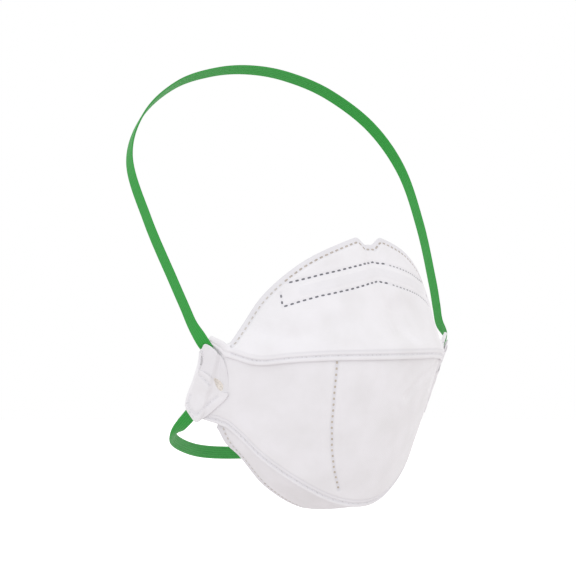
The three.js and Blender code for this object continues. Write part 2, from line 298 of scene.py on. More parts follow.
# ---------- meshes ----------
def make_mesh(name, points, faces, materials, uvs=None, tint=None, face_material=None):
    """A smooth-shaded object in metres. uvs and tint are per point, face_material per face."""
    mesh = bpy.data.meshes.new(name)
    mesh.from_pydata((np.asarray(points) * MM).tolist(), [], [tuple(f) for f in faces])
    for material in materials:
        mesh.materials.append(material)
    corners = np.zeros(len(mesh.loops), np.int32)
    mesh.loops.foreach_get("vertex_index", corners)
    if uvs is not None:
        layer = mesh.uv_layers.new(name="cloth")
        layer.data.foreach_set("uv", np.asarray(uvs, float)[corners].ravel())
    if tint is not None:
        layer = mesh.attributes.new("pressed", "FLOAT", "POINT")
        layer.data.foreach_set("value", np.asarray(tint, float))
    if face_material is not None:
        mesh.polygons.foreach_set("material_index", np.asarray(face_material, np.int32))
    mesh.polygons.foreach_set("use_smooth", np.ones(len(mesh.polygons), bool))
    mesh.update()
    piece = bpy.data.objects.new(name, mesh)
    scene.collection.objects.link(piece)
    return piece


def grid_faces(rows, columns, start=0, flip=False):
    i, j = np.meshgrid(np.arange(rows - 1), np.arange(columns - 1), indexing="ij")
    a = (start + i * columns + j).ravel()
    quad = np.stack([a, a + columns, a + columns + 1, a + 1], axis=1)
    return quad[:, ::-1] if flip else quad


def surface_uv(grid):
    """Lengths in metres along the rows and down the columns, measured from the grid's middle."""
    along = np.linalg.norm(np.diff(grid, axis=1), axis=2)
    along = np.concatenate([np.zeros((len(grid), 1)), np.cumsum(along, axis=1)], axis=1)
    along -= along[:, grid.shape[1] // 2][:, None]
    down = np.linalg.norm(np.diff(grid, axis=0), axis=2)
    down = np.concatenate([np.zeros((1, grid.shape[1])), np.cumsum(down, axis=0)])
    return np.stack([along, -down], axis=-1) * MM


def cloth_wall(name, outer, wall, material, pressed=None, keep=3):
    """A cloth wall under its outer face: a plain inner face and half-round rims."""
    rows, columns = outer.shape[:2]
    wall = np.broadcast_to(wall, (rows, columns))
    inner = offset(outer, -wall)
    pressed = np.zeros((rows, columns)) if pressed is None else pressed
    uv = surface_uv(outer)
    pick_r = np.unique(np.append(np.arange(0, rows, keep), rows - 1))
    pick_c = np.unique(np.append(np.arange(0, columns, keep), columns - 1))
    coarse = inner[np.ix_(pick_r, pick_c)]
    points = [outer.reshape(-1, 3), coarse.reshape(-1, 3)]
    uvs = [uv.reshape(-1, 2), uv[np.ix_(pick_r, pick_c)].reshape(-1, 2)]
    tints = [pressed.ravel(), pressed[np.ix_(pick_r, pick_c)].ravel()]
    faces = [
        grid_faces(rows, columns),
        grid_faces(len(pick_r), len(pick_c), rows * columns, flip=True),
    ]
    start = rows * columns + coarse.shape[0] * coarse.shape[1]
    sides = [
        (outer[0], inner[0], outer[0] - outer[1], uv[0], pressed[0], False),
        (outer[-1], inner[-1], outer[-1] - outer[-2], uv[-1], pressed[-1], True),
        (outer[:, 0], inner[:, 0], outer[:, 0] - outer[:, 1], uv[:, 0], pressed[:, 0], True),
        (outer[:, -1], inner[:, -1], outer[:, -1] - outer[:, -2], uv[:, -1], pressed[:, -1], False),
    ]
    for face, back, away, flat, tint, flip in sides:
        away = unit(away)
        thick = np.linalg.norm(back - face, axis=1, keepdims=True)
        steps = np.linspace(0, math.pi, 6)
        rim = [
            face + (back - face) * (1 - math.cos(a)) / 2 + away * thick * 0.42 * math.sin(a)
            for a in steps
        ]
        points += rim
        uvs += [flat] * len(rim)
        tints += [tint] * len(rim)
        faces.append(grid_faces(len(rim), len(face), start, flip=not flip))
        start += len(rim) * len(face)
    return make_mesh(
        name, np.vstack(points), np.vstack(faces).tolist(), [material],
        np.vstack(uvs), np.concatenate(tints),
    )


def weld_marks(name, grid, lines, materials):
    """Pressed dashes on a cloth face. Each line has its places as rows and columns of the grid, the
    pitch, the dash's length and width, its turn away from the line, and its material's number."""
    normal = normals(grid)
    ring = np.linspace(0, 2 * math.pi, 14, endpoint=False)
    square = 0.6
    shape = np.stack([
        np.sign(np.cos(ring)) * np.abs(np.cos(ring)) ** square,
        np.sign(np.sin(ring)) * np.abs(np.sin(ring)) ** square,
    ], axis=1)
    levels = [(1.0, 0.34, -0.10), (1.0, 0.10, 0.09), (0.98, -0.04, 0.05), (0.5, 0, 0.03)]
    points, faces, slots = [], [], []
    for places, pitch, length, width, turn, slot in lines:
        track = sample(grid, places[:, 0], places[:, 1])
        along = lengths_along(track)
        count = max(1, round(along[-1] / pitch))
        for at in (np.arange(count) + 0.5) * along[-1] / count:
            r = np.array([np.interp(at, along, places[:, 0])])
            c = np.array([np.interp(at, along, places[:, 1])])
            step = 0.4
            ahead = [np.interp(at + s * step, along, places[:, k]) for s in (1, -1) for k in (0, 1)]
            line = sample(grid, np.array(ahead[0:4:2]), np.array(ahead[1:4:2]))
            tangent = unit(line[0] - line[1])
            out = unit(sample(normal, r, c)[0])
            side = unit(np.cross(out, tangent))
            dash = tangent * math.cos(turn) + side * math.sin(turn)
            cross = np.cross(out, dash)
            solve = np.linalg.pinv(slopes(grid, r, c))
            first = len(points)
            for scale, grow, lift in levels:
                a = shape[:, :1] * (length / 2 * scale + grow)
                b = shape[:, 1:] * (width / 2 * scale + grow)
                flat = a * dash + b * cross
                move = flat @ solve.T
                place = sample(grid, r + move[:, 0], c + move[:, 1])
                points.extend(place + lift * out)
            points.append(sample(grid, r, c)[0] + 0.03 * out)
            n = len(ring)
            for level in range(len(levels)):
                for k in range(n):
                    a = first + level * n + k
                    b = first + level * n + (k + 1) % n
                    if level < len(levels) - 1:
                        faces.append((a, b, b + n, a + n))
                    else:
                        faces.append((a, b, first + len(levels) * n))
                    slots.append(0 if level == 0 else slot)
    return make_mesh(name, points, faces, materials, face_material=slots)


# ---------- materials ----------
def srgb(r, g, b):
    shares = (v / 255 for v in (r, g, b))
    return (*(v / 12.92 if v <= 10 / 255 else ((v + 0.055) / 1.055) ** 2.4 for v in shares), 1.0)


class Nodes:
    """A material's node tree, with short calls to add and join nodes."""

    def __init__(self, name):
        self.material = bpy.data.materials.new(name)
        self.material.use_nodes = True
        self.tree = self.material.node_tree
        self.shader = self.tree.nodes["Principled BSDF"]

    def add(self, kind, inputs=None, **settings):
        node = self.tree.nodes.new(kind)
        for key, value in settings.items():
            setattr(node, key, value)
        for key, value in (inputs or {}).items():
            if hasattr(value, "is_linked"):
                self.tree.links.new(value, node.inputs[key])
            else:
                node.inputs[key].default_value = value
        return node

    def join(self, output, socket):
        self.tree.links.new(output, self.shader.inputs[socket])

    def math(self, operation, a, b=0.0):
        return self.add("ShaderNodeMath", {0: a, 1: b}, operation=operation).outputs[0]

    def mix(self, share, a, b):
        node = self.add("ShaderNodeMix", data_type="RGBA")
        for socket, value in zip((node.inputs[0], node.inputs[6], node.inputs[7]), (share, a, b)):
            if hasattr(value, "is_linked"):
                self.tree.links.new(value, socket)
            else:
                socket.default_value = value
        return node.outputs[2]

    def noise(self, vector, scale, detail):
        inputs = {"Vector": vector, "Scale": scale, "Detail": detail}
        return self.add("ShaderNodeTexNoise", inputs).outputs[0]

    def stretched(self, vector, scale):
        return self.add("ShaderNodeMapping", {"Vector": vector, "Scale": scale}).outputs[0]

    def place(self):
        return self.add("ShaderNodeTexCoord").outputs["Object"]

    def bump(self, height, strength, distance):
        inputs = {"Strength": strength, "Distance": distance, "Height": height}
        self.join(self.add("ShaderNodeBump", inputs).outputs[0], "Normal")

    def set(self, socket, value):
        self.shader.inputs[socket].default_value = value

    def ramp(self, value, low, high):
        node = self.add("ShaderNodeMapRange", {"Value": value, "From Min": low, "From Max": high})
        return node.outputs[0]


def nonwoven(name, base, shade, emboss=0.25):
    """White spunbond: staggered bond points, lying fibres and a soft unevenness."""
    n = Nodes(name)
    uv = n.add("ShaderNodeUVMap", uv_map="cloth").outputs[0]
    split = n.add("ShaderNodeSeparateXYZ", {0: uv})
    pitch = 1.3 * MM
    u = n.math("MULTIPLY", split.outputs[0], 2 * math.pi / pitch)
    v = n.math("MULTIPLY", split.outputs[1], 2 * math.pi / (0.62 * pitch))
    bond = n.math("MULTIPLY", n.math("COSINE", u), n.math("COSINE", v))
    bond = n.ramp(bond, 0.35, 1.0)
    fibre = n.noise(n.stretched(uv, (700, 2600, 1)), 1.0, 5.0)
    cloud = n.noise(n.place(), 60.0, 4.0)
    pressed = n.add("ShaderNodeAttribute", attribute_name="pressed").outputs["Fac"]
    tone = n.mix(n.ramp(cloud, 0.35, 0.7), base, shade)
    tone = n.mix(n.math("MULTIPLY", bond, 0.22), tone, shade)
    tone = n.mix(n.math("MULTIPLY", pressed, 0.75), tone, srgb(196, 195, 203))
    n.join(tone, "Base Color")
    rough = n.math("ADD", n.math("MULTIPLY", fibre, 0.2), 0.72)
    n.join(rough, "Roughness")
    n.set("Sheen Weight", 0.15)
    n.set("Specular IOR Level", 0.25)
    height = n.math("SUBTRACT", n.math("MULTIPLY", fibre, 0.7), n.math("MULTIPLY", bond, 0.6))
    n.bump(height, emboss, 0.00025)
    return n.material


def melted(name, colour):
    """Cloth melted to a film under a weld point."""
    n = Nodes(name)
    grain = n.noise(n.place(), 900.0, 3.0)
    darker = tuple(0.75 * v for v in colour[:3]) + (1.0,)
    n.join(n.mix(n.ramp(grain, 0.35, 0.65), colour, darker), "Base Color")
    n.join(n.ramp(grain, -0.6, 1.8), "Roughness")
    n.bump(grain, 0.3, 0.0001)
    return n.material


def elastic(name, light, dark):
    """Ribbed elastic: cords along the band, with the cross threads between them, and painted shade
    in the valleys between the cords.
    """
    n = Nodes(name)
    uv = n.add("ShaderNodeUVMap", uv_map="cloth").outputs[0]
    split = n.add("ShaderNodeSeparateXYZ", {0: uv})
    across = n.math("MULTIPLY", split.outputs[0], 2 * math.pi / (0.55 * MM))
    along = n.math("MULTIPLY", split.outputs[1], 2 * math.pi / (0.9 * MM))
    slant = n.math("ADD", along, n.math("MULTIPLY", n.math("SINE", across), 1.2))
    thread = n.ramp(n.math("SINE", slant), -1.0, 1.0)
    fuzz = n.noise(n.stretched(uv, (2500, 900, 1)), 1.0, 4.0)
    valley = n.add("ShaderNodeAttribute", attribute_name="pressed").outputs["Fac"]
    tone = n.mix(n.math("MULTIPLY", thread, 0.45), light, dark)
    # painted shade: the valleys between the ribs, held in the 'pressed' attribute, are darkened
    # towards the dark green by their depth
    tone = n.mix(n.math("MULTIPLY", valley, 0.7), tone, dark)
    tone = n.mix(n.ramp(fuzz, 0.45, 0.9), tone, light)
    n.join(tone, "Base Color")
    n.join(n.math("ADD", n.math("MULTIPLY", fuzz, 0.3), 0.55), "Roughness")
    n.set("Sheen Weight", 0.2)
    n.set("Specular IOR Level", 0.3)
    height = n.math("ADD", n.math("MULTIPLY", fuzz, 0.5), n.math("MULTIPLY", thread, -0.6))
    n.bump(height, 0.45, 0.0002)
    return n.material


def rolled_metal(name):
    n = Nodes(name)
    line = n.noise(n.stretched(n.place(), (60, 3000, 3000)), 1.0, 3.0)
    n.join(n.mix(line, srgb(205, 207, 212), srgb(165, 168, 175)), "Base Color")
    n.join(n.ramp(line, -1.0, 2.2), "Roughness")
    n.set("Metallic", 1.0)
    return n.material


CLOTH = nonwoven("nonwoven", srgb(233, 231, 234), srgb(227, 225, 227))
LINING = nonwoven("nonwoven_inner", srgb(231, 230, 234), srgb(222, 220, 225), emboss=0.35)
SOFT_WELD = melted("weld_point", srgb(190, 180, 172))
SIDE_WELD = melted("weld_point_side", srgb(208, 202, 198))
WELD_LINE = melted("weld_point_line", srgb(196, 185, 172))
DARK_WELD = melted("weld_point_over_strip", srgb(116, 116, 124))
FAR_WELD_PAINTED_PALE = melted("weld_point_over_strip_far_painted_pale", srgb(158, 158, 162))
# painted light: the far half of the pocket's weld dashes, paler as the far side's dimmer light
# makes them look
PALE_WELD = melted("weld_point_seam", srgb(225, 223, 227))
FAINT_WELD = melted("weld_point_tab", srgb(231, 230, 234))
BAND = elastic("green_elastic", srgb(50, 164, 64), srgb(20, 106, 34))
# painted shade: the beige of the shaded inside of the slot, laid as a flat patch on the flap
SLOT_SHADE = melted("slot_painted_shade", srgb(230, 223, 215))

# ---------- the plane of a side tab ----------
DOWN = unit(FOLD_BOTTOM - FOLD_TOP)
to_root = (ROOT_TOP + ROOT_BOTTOM) / 2 - FOLD_TOP
INWARD = unit(to_root - DOWN * (to_root @ DOWN))
OUTWARD = unit(np.cross(INWARD, DOWN))
TURN = TUNNEL_HEIGHT / 2
WING_END = 0.92              # the centre panel's cloth runs this far from root to fold


def on_tab(a, b, c):
    """A place by its distance inward from the fold, down along it and out of the tab's face."""
    a, b, c = (np.asarray(v, float)[..., None] for v in (a, b, c))
    return FOLD_TOP + a * INWARD + b * DOWN + c * OUTWARD


def fold_waist(v):
    return WAIST_DEPTH * np.exp(-(((v - WAIST_MIDDLE) / WAIST_SPREAD) ** 2))


def back_layer(q, v):
    """The front of the tab's back layer; q runs from root to fold and v from top to bottom."""
    q, v = np.broadcast_arrays(np.asarray(q, float), np.asarray(v, float))
    root = ROOT_TOP + (ROOT_BOTTOM - ROOT_TOP) * v[..., None]
    fold = on_tab(TURN + fold_waist(v), BEND_TOP + (BEND_BOTTOM - BEND_TOP) * v, 0.0 * v)
    table = np.array(BACK_LAYER, float)
    fine = catmull(table)(np.linspace(0, 1, 60))
    rise = np.interp(q, fine[:, 0], fine[:, 1])
    drop = np.interp(q, fine[:, 0], fine[:, 2])
    move = smooth(0.7, 1, v) * drop - fall(0, 0.3, v) * rise
    return root * (1 - q[..., None]) + fold * q[..., None] + move[..., None] * DOWN


# ---------- panels ----------
top_edge = rail(TOP_EDGE)
top_seam = rail(TOP_SEAM)
bottom_seam = rail(BOTTOM_SEAM)
chin_edge = rail(CHIN_EDGE)
across = np.linspace(-1, 1, COLUMNS + 1)
FORWARD = np.array([0.0, -1.0, 0.0])
seam_gap = np.linalg.norm(top_seam(across) - bottom_seam(across), axis=1)
lap = WELD_LAP / seam_gap


def centre_face(t):
    """The outer face of the centre panel; t, per row or per point, runs from seam to seam."""
    t = np.broadcast_to(t, (len(t), COLUMNS + 1))[..., None]
    swell = CENTRE_BULGE * (1 - across**2)[None, :, None] ** 2 * 4 * t * (1 - t)
    return top_seam(across) * (1 - t) + bottom_seam(across) * t + FORWARD * swell


def panel_fade(grid, border):
    """1 inside a panel, falling to 0 at its upper and lower borders."""
    down = -surface_uv(grid)[..., 1] / MM
    return smooth(0, border, down) * smooth(0, border, down[-1] - down)


def edge_lean(edge, inside):
    """How squarely a panel's columns meet its free edge, from 0.2 to 1."""
    cosine = (unit(np.gradient(edge, axis=0)) * unit(inside - edge)).sum(1)
    return np.sqrt(np.maximum(1 - cosine**2, 0.04))


def edge_pressed(from_edge):
    """The pressed look of a free edge and of its weld line."""
    return 0.35 * fall(0.5, 2.4, from_edge) + 0.4 * fall(0.4, 1.6, np.abs(from_edge - EDGE_LINE))


def with_wings(grid, shares):
    """The centre panel's cloth runs on over the back layers of both tabs."""
    q = np.linspace(0, WING_END, WING + 1)[1:]
    wing = back_layer(q[None, :], shares[:, None])
    start = grid[:, -1][:, None] - back_layer(0.0, shares)[:, None]
    fade = fall(0, 0.5, q)[None, :, None]
    wing = wing + start * fade + 0.04 * OUTWARD * (1 - fade)
    left = wing[:, ::-1] * [-1, 1, 1]
    return np.concatenate([left, grid, wing], axis=1)


def build_centre():
    rows = 0.5 - 0.5 * np.cos(np.linspace(0, math.pi, ROWS))
    rows = 0.55 * rows + 0.45 * np.linspace(0, 1, ROWS)
    face = centre_face(rows[:, None])
    corner = smooth(0.9, 1, np.abs(across))[None] * smooth(0.6, 1, rows)[:, None]
    face = face + HEM_DROP * corner[..., None] * DOWN
    grid = with_wings(face, rows)
    columns = np.arange(grid.shape[1])
    wing = np.maximum(WING - columns, columns - WING - COLUMNS) / WING
    on_panel = fall(0, 0.25, wing)[None, :]
    places = locate(grid, resampled(PANEL_WELD, 3.0), [0, 2])
    weld = sample(grid, places[:, 0], places[:, 1])
    from_weld = distance_to(grid, weld)
    below = -surface_uv(grid)[..., 1] / MM
    to_edge = below[-1] - below
    hem_fade = fall(0.35, 0.7, wing)[None, :]
    inside = panel_fade(grid, 9.0) * (0.3 + 0.7 * on_panel)
    relief = 0.5 * ripple(grid, 42, 3) * inside + 0.12 * ripple(grid, 13, 5) * inside
    relief -= 0.35 * fall(0.5, 1.9, from_weld) - 0.22 * bell(from_weld - 3.2, 1.8) * inside
    relief -= (0.42 * bell(to_edge - HEM_LINE, 0.75) + 0.3 * bell(to_edge - 3.9, 0.5)) * hem_fade
    relief += 0.12 * bell(to_edge - 0.6, 0.6) * hem_fade
    crease = catmull([(47.3, 6.7), (37, 2.6), (26.3, -1.9), (14.9, -10.7)])(np.linspace(0, 1, 30))
    at = locate(grid, crease, [0, 2])
    fold = distance_to(grid, sample(grid, at[:, 0], at[:, 1]))
    relief -= 0.5 * bell(fold, 2.4) - 0.3 * bell(fold - 4.5, 2.6)
    pressed = 0.5 * fall(0.4, 1.6, from_weld) + 0.55 * bell(to_edge - HEM_LINE, 0.8) * hem_fade
    pressed += 0.4 * bell(to_edge - 3.9, 0.45) * hem_fade
    outer = offset(grid, relief)
    wall = (PANEL_WALL - 0.35 * bell(to_edge - HEM_LINE, 1.2)) * on_panel
    wall = wall + WING_WALL * (1 - on_panel)
    piece = cloth_wall("centre_panel_cloth", outer, wall, CLOTH, np.clip(pressed, 0, 1))
    marked = np.linspace(0.6 * WING, COLUMNS + 1.4 * WING, 240)
    edge_rows = np.array([
        np.interp(-HEM_LINE, -to_edge[:, int(round(c))], np.arange(len(rows))) for c in marked
    ])
    hem = np.stack([edge_rows, marked], axis=1)
    marks = weld_marks("centre_panel_welds", outer, [
        (places, 3.25, 1.2, 0.95, 0.0, 1),
        (hem, 3.3, 1.9, 0.62, math.radians(-24), 2),
    ], [CLOTH, WELD_LINE, PALE_WELD])
    return piece, marks


def top_inner():
    """The inner face of the top panel, from its free edge down to the end of its welded border."""
    shares = np.linspace(0, 2, 15) / 2
    border = offset(centre_face(shares[:, None] * lap[None, :]), GAP)
    fold = border[0] + [0, 0, SEAM_RISE]
    notch = NOTCH_DEPTH * fall(0.2 * NOTCH_HALF, NOTCH_HALF, np.abs(across))
    edge = top_edge(across)
    edge[:, 2] -= notch
    rise = (1 - np.linspace(0, 1, ROWS))[:, None]
    beside = fall(0.05, 0.4, np.abs(across))
    dent = NOSE_DENT * beside * smooth(0, 0.3, rise) * fall(0.3, 0.65, rise)
    cloth = fold * (1 - rise[..., None]) + edge * rise[..., None] - FORWARD * dent[..., None]
    return np.concatenate([cloth, border])


def build_top():
    grid = top_inner()
    rows = len(grid)
    face = offset(grid, PANEL_WALL)
    down = -surface_uv(face)[..., 1] / MM
    to_hem = down[-1] - down
    from_edge = down * edge_lean(face[0], face[2])
    inside = smooth(4, 12, from_edge) * smooth(5, 13, to_hem)
    upper = [(-x, z) for x, z in POCKET_UPPER[:0:-1]] + POCKET_UPPER
    lower = [(-x, z) for x, z in POCKET_LOWER[:0:-1]] + POCKET_LOWER
    high = locate(face, resampled(upper, 2.0), [0, 2])
    low = locate(face, resampled(lower, 2.0), [0, 2])
    ends = [
        locate(face, resampled([(s * 52.6, 45.4), (s * 53.1, 38.6)], 1.5), [0, 2])
        for s in (-1, 1)
    ]
    lines = [high, low] + ends
    from_pocket = np.minimum.reduce([
        distance_to(face, sample(face, at[:, 0], at[:, 1])) for at in lines
    ])
    middle = [(x, (z + w) / 2) for (x, z), (_, w) in zip(upper, lower)]
    at = locate(face, resampled(middle[1:-1], 2.0), [0, 2])
    from_strip = distance_to(face, sample(face, at[:, 0], at[:, 1]))

    relief = 0.45 * ripple(face, 38, 11) * inside + 0.12 * ripple(face, 12, 12) * inside
    relief -= 0.3 * fall(0.6, 1.7, np.abs(from_edge - EDGE_LINE))
    relief -= 0.25 * fall(0.5, 2.4, from_edge)
    relief += 0.2 * bell(from_edge - 5.2, 1.8)
    relief -= 0.3 * fall(0.5, 1.7, from_pocket)
    relief += 0.3 * fall(2.2, 3.4, from_strip)
    # the fold beside the nose, and the facet that it leaves towards the far cheek
    valley = locate(face, resampled([(5.4, 45), (4.0, 38), (1.8, 29), (2.5, 23)], 1.0), [0, 2])
    from_valley = distance_to(face, sample(face, valley[:, 0], valley[:, 1]))
    x, z = face[..., 0], face[..., 2]
    facet = smooth(2, 9, x) * fall(20, 50, x) * smooth(17, 26, z) * fall(36, 47, z)
    relief -= VALLEY_DEPTH * bell(from_valley, 3.0) + FACET_DEPTH * facet
    soft = locate(face, resampled([(-62, 24), (-50, 22), (-38, 27), (-26, 30)], 2.0), [0, 2])
    from_soft = distance_to(face, sample(face, soft[:, 0], soft[:, 1]))
    relief -= 0.55 * bell(from_soft, 4.0) - 0.35 * bell(from_soft - 8, 4.0) * inside
    relief -= 0.5 * bell(to_hem - SEAM_LINE, 0.6) + 0.35 * bell(to_hem - 4.6, 0.5)
    relief += 0.15 * bell(to_hem - 0.8, 0.7)
    outer = offset(face, relief)

    pressed = edge_pressed(from_edge)
    pressed += 0.25 * fall(0.4, 1.5, from_pocket)
    pressed += 0.12 * fall(2.0, 3.0, from_strip)
    pressed += 0.55 * bell(to_hem - SEAM_LINE, 0.7) + 0.5 * bell(to_hem - 4.7, 0.4)
    wall = PANEL_WALL - 0.35 * fall(0.5, 3.0, from_edge)
    piece = cloth_wall("top_panel_cloth", outer, wall, CLOTH, np.clip(pressed, 0, 1))

    columns = np.linspace(3, COLUMNS - 3, 300)
    index = np.round(columns).astype(int)
    edge_rows = np.array([np.interp(EDGE_LINE, from_edge[:, c], np.arange(rows)) for c in index])
    hem_rows = np.array([np.interp(-SEAM_LINE, -to_hem[:, c], np.arange(rows)) for c in index])
    edge_marks = np.stack([edge_rows, columns], axis=1)
    far = 0.54 * COLUMNS     # past the nose the pocket's welds are finer, and painted paler: the far side's dimmer light painted into their colour
    marks = weld_marks("top_panel_welds", outer, [
        (edge_marks[75:226], 3.3, 1.9, 0.85, 0.0, 1),
        (edge_marks[:75], 3.3, 1.8, 0.8, 0.0, 4),
        (edge_marks[226:], 3.3, 1.8, 0.8, 0.0, 4),
        (high[high[:, 1] <= far], 3.5, 1.8, 0.8, 0.0, 2),
        (low[low[:, 1] <= far], 3.5, 1.8, 0.8, 0.0, 2),
        (high[high[:, 1] > far], 2.9, 1.4, 0.55, 0.0, 5),
        (low[low[:, 1] > far], 2.9, 1.4, 0.55, 0.0, 5),
        (ends[0], 2.9, 1.5, 0.8, 0.0, 2),
        (ends[1], 2.9, 1.5, 0.8, 0.0, 2),
        (np.stack([hem_rows, columns], axis=1), 2.4, 1.2, 0.55, 0.0, 3),
    ], [CLOTH, SOFT_WELD, DARK_WELD, PALE_WELD, SIDE_WELD, FAR_WELD_PAINTED_PALE])
    return piece, marks, outer


RIM_WIDTH = (6.4, 2.4)       # at the root and at the fold
RIM_THICK = (1.1, 0.75)
RIM_WALL = 0.5


def build_rim(name, end, flip):
    """The top panel's welded border, running on along the upper edge of a tab's back layer."""
    steps, count = 60, 22
    end = resampled_to(end, count)
    q = np.linspace(0, WING_END, steps)
    crest = back_layer(q, 0.0 * q) + (0.9 * bell(q - 0.12, 0.16))[:, None] * DOWN
    width = RIM_WIDTH[0] * (1 - q) + RIM_WIDTH[1] * q
    thick = RIM_THICK[0] * (1 - q) + RIM_THICK[1] * q
    profile = np.zeros((count, steps, 3))
    for k in range(steps):
        w, h = width[k], thick[k]
        line = catmull([
            (-0.1, -0.9), (-0.75, -0.5), (-0.8, 0.35), (-0.1, h), (0.35 * w, h + 0.12),
            (0.62 * w, h - 0.22), (0.8 * w, h), (w, h - 0.1),
        ])(np.linspace(0, 1, 80))
        line = resampled_to(line, count)
        profile[:, k] = crest[k] + line[:, :1] * DOWN + line[:, 1:] * OUTWARD
    # it starts on the panel's own end and turns into the rolled edge
    drift = (crest - crest[0])[None]
    ending = end[:, None] + drift
    share = smooth(0, 0.3, q)[None, :, None]
    grid = ending * (1 - share) + profile * share
    lead = end[:, None] + (end[:, None] - grid[:, 1:2]) * 1.5
    grid = np.concatenate([lead, grid], axis=1)
    grid = offset(grid, 0.1 * ripple(grid, 9, 41))
    if flip:
        grid = mirrored(grid)
    return cloth_wall(name, grid, RIM_WALL, CLOTH, keep=2)


def build_chin():
    shares = np.linspace(1, 0, 13)
    lapped = centre_face(1 - shares[:, None] * lap[None, :])
    border = offset(lapped, -(PANEL_WALL + GAP))
    t = np.linspace(0, 1, 91)[1:, None, None]
    swell = CHIN_BULGE * (1 - across**2)[None, :, None] * np.sin(math.pi * t)
    cloth = border[-1] * (1 - t) + chin_edge(across) * t - np.array([0, 0, 1.0]) * swell
    grid = np.concatenate([border, cloth])
    down = -surface_uv(grid)[..., 1] / MM
    to_edge = (down[-1] - down) * edge_lean(grid[-1], grid[-3])
    inside = smooth(4, 10, down) * smooth(4, 10, to_edge)
    relief = 0.45 * ripple(grid, 30, 21) * inside
    relief -= 0.3 * fall(0.6, 1.7, np.abs(to_edge - EDGE_LINE))
    relief -= 0.2 * fall(0.5, 2.4, to_edge)
    outer = offset(grid, relief)
    pressed = edge_pressed(to_edge)
    wall = PANEL_WALL - 0.35 * fall(0.5, 3.0, to_edge)
    piece = cloth_wall("chin_panel_cloth", outer, wall, CLOTH, pressed)
    columns = np.linspace(3, COLUMNS - 3, 300)
    rows = np.array([
        np.interp(-EDGE_LINE, -to_edge[:, int(round(c))], np.arange(len(grid))) for c in columns
    ])
    edge_marks = np.stack([rows, columns], axis=1)
    marks = weld_marks("chin_panel_welds", outer, [
        (edge_marks[85:216], 2.9, 1.5, 0.9, 0.0, 1),
        (edge_marks[:85], 2.9, 1.5, 0.8, 0.0, 2),
        (edge_marks[216:], 2.9, 1.5, 0.8, 0.0, 2),
    ], [CLOTH, SOFT_WELD, SIDE_WELD])
    return piece, marks


# ---------- nose pocket ----------
POCKET_HALF = 0.46
POCKET_HALF_HEIGHT = 5.4
ARCH_HEIGHT = 57.0
ARCH_DROP = 16.0
CLIP_WALL = 0.8
POCKET_WALL = 0.6


def build_pocket():
    grid = top_inner()[:ROWS]
    columns = np.flatnonzero(np.abs(across) <= POCKET_HALF)
    lanes = np.linspace(-1, 1, 33)
    band = np.zeros((len(lanes), len(columns), 3))
    for k, c in enumerate(columns):
        middle = ARCH_HEIGHT - ARCH_DROP * (across[c] / POCKET_HALF) ** 2
        at = middle - lanes * POCKET_HALF_HEIGHT
        rows = np.interp(-at, -grid[:, c, 2], np.arange(ROWS))
        band[:, k] = sample(grid, rows, np.full(len(rows), float(c)))
    stand = GAP + (GAP + CLIP_WALL) * fall(0.5, 0.78, np.abs(lanes))[:, None]
    stand = stand - 0.12 * bell(np.abs(lanes)[:, None] - 0.88, 0.05)
    inside = offset(band, -(stand + POCKET_WALL))
    lining = inside[:, ::-1]
    return cloth_wall("nose_pocket_cloth", lining, POCKET_WALL, LINING)


# ---------- side tabs ----------
# inward, down
FLAP_FOLD = [
    (-0.8, 5.0), (-0.4, 7.0), (0.2, 10.1), (0.4, 13.6), (0.0, 19.6), (-0.5, 25.1), (-0.9, 31.2),
    (-0.9, 35.4), (-0.4, 37.0),
]
FLAP_TOP = [(-0.8, 5.0), (-0.3, 2.4), (1.0, -0.1), (4.5, 0.4), (8.4, 2.3), (12.5, 5.7)]
FLAP_FAR = [(12.5, 5.7), (15.6, 10.4), (17.2, 14.3), (18.8, 19.5), (20.0, 24.6)]
FLAP_BOTTOM = [
    (-0.4, 37.0), (0.9, 38.6), (6.6, 43.9), (8.6, 43.7), (12.8, 38.5), (19.2, 27.4), (20.0, 24.6),
]
OVERLAP = [(0.8, 14.3), (6.6, 15.4), (10.4, 17.7), (13.2, 22.2), (16.4, 23.9), (19.8, 23.4)]
SLOT = [(10.4, 16.9), (13.8, 17.6), (16.6, 19.6), (17.0, 23.8), (12.9, 22.8), (11.2, 20.3)]


def rounded(line, times=3):
    """A line with its corners cut to soft curves; its ends stay."""
    line = np.array(line, float)
    for _ in range(times):
        cut = np.empty((2 * len(line) - 2, 2))
        cut[0::2] = 0.78 * line[:-1] + 0.22 * line[1:]
        cut[1::2] = 0.22 * line[:-1] + 0.78 * line[1:]
        line = np.vstack([line[:1], cut, line[-1:]])
    return line


def patch(left, right, top, bottom, rows, columns):
    """A grid over the plane region between four sides; top and bottom run from left to right."""
    left, right = (resampled_to(rounded(side), rows)[:, None] for side in (left, right))
    top, bottom = (resampled_to(rounded(side), columns)[None] for side in (top, bottom))
    v = np.linspace(0, 1, rows)[:, None, None]
    q = np.linspace(0, 1, columns)[None, :, None]
    corners = (
        (1 - v) * (1 - q) * left[0, 0] + (1 - v) * q * right[0, 0]
        + v * (1 - q) * left[-1, 0] + v * q * right[-1, 0]
    )
    return (1 - q) * left + q * right + (1 - v) * top + v * bottom - corners


def fold_at(down):
    line = rounded(FLAP_FOLD)
    return np.interp(down, line[:, 1], line[:, 0])


